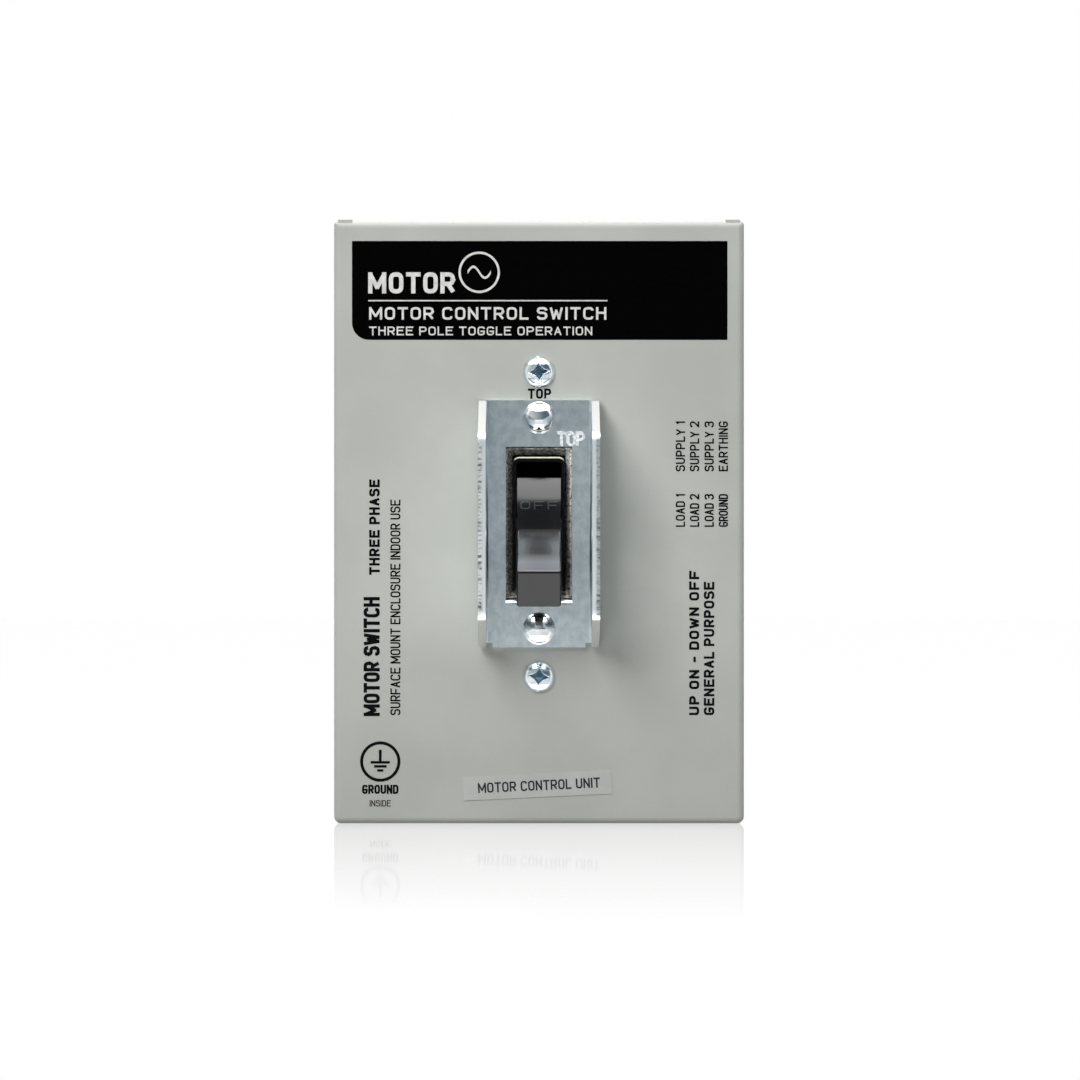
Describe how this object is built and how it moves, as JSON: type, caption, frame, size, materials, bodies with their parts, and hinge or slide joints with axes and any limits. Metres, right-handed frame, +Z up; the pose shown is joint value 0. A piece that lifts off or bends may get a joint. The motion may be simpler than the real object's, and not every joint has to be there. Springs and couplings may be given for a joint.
{
  "type": "manual motor starter",
  "caption": "Surface-mounted steel enclosure holding a toggle-operated motor starting switch, with a riveted channel guard around the toggle for a padlock.",
  "frame": {"origin": "centre of the back wall's outer face, on the wall it is mounted on", "axes": "+Z up, the cover and toggle face -Y, +X to the viewer's right"},
  "size_m": [0.0812, 0.088, 0.1197],
  "materials": {
    "painted_steel": "light grey powder coat, fine orange peel",
    "box_steel": "light grey powder coat",
    "zinc_guard": "blue-grey zinc plate, satin",
    "bright_rivet": "polished steel rivet",
    "zinc_screw": "bright zinc plate",
    "strap_steel": "galvanised steel with raw edges",
    "black_moulding": "black thermoset, satin",
    "toggle_moulding": "black thermoset, semi-gloss",
    "carriage_moulding": "brick red moulded arc-resistant plastic",
    "copper": "tinned or bare copper alloy, satin",
    "silver_contact": "silver alloy",
    "brass_screw": "brass screw",
    "spring_steel": "spring wire",
    "green_screw": "green dyed zinc",
    "label_film": "plain satin film label"
  },
  "bodies": {
    "enclosure": {"back_box": "box_steel", "cover": "painted_steel", "upper_device_ear": "box_steel", "lower_device_ear": "box_steel", "ground_screw": "green_screw", "rating_label": "label_film", "lockout_guard": "zinc_guard", "guard_rivets": "bright_rivet", "cover_screws": "zinc_screw", "strap_screws": "zinc_screw", "strap_rivets": "bright_rivet", "body_screws": "zinc_screw", "mounting_strap": "strap_steel", "switch_face": "black_moulding", "switch_base": "black_moulding", "toggle_pin": "spring_steel", "fixed_contact_rivets": "silver_contact", "line_terminal_screws": "brass_screw", "load_terminal_screws": "brass_screw", "line_wire_clamps": "zinc_screw", "load_wire_clamps": "zinc_screw", "line_terminal_1": "copper", "load_terminal_1": "copper", "line_terminal_2": "copper", "load_terminal_2": "copper", "line_terminal_3": "copper", "load_terminal_3": "copper"},
    "toggle": {"toggle_handle": "toggle_moulding"},
    "crossbar": {"contact_carriage": "carriage_moulding", "moving_contact_rivets": "silver_contact", "detent_ball_left": "bright_rivet", "detent_ball_right": "bright_rivet", "detent_spring_left": "spring_steel", "detent_spring_right": "spring_steel", "contact_bridge_1": "copper", "contact_bridge_2": "copper", "contact_bridge_3": "copper", "contact_spring_1": "spring_steel", "contact_spring_2": "spring_steel", "contact_spring_3": "spring_steel"}
  },
  "joints": [
    {"name": "toggle_pivot", "type": "hinge", "parent": "enclosure", "child": "toggle", "pos_m": [0, -0.0598, -0.00035], "axis": [-1, 0, 0], "range_deg": [0, 58]},
    {"name": "crossbar_slide", "type": "slide", "parent": "enclosure", "child": "crossbar", "axis": [0, 0, -1], "range_m": [0, 0.00611]}
  ],
  "couplings": [
    {"joint": "toggle_pivot", "follows": "crossbar_slide", "rad_per_m": 165.7}
  ]
}
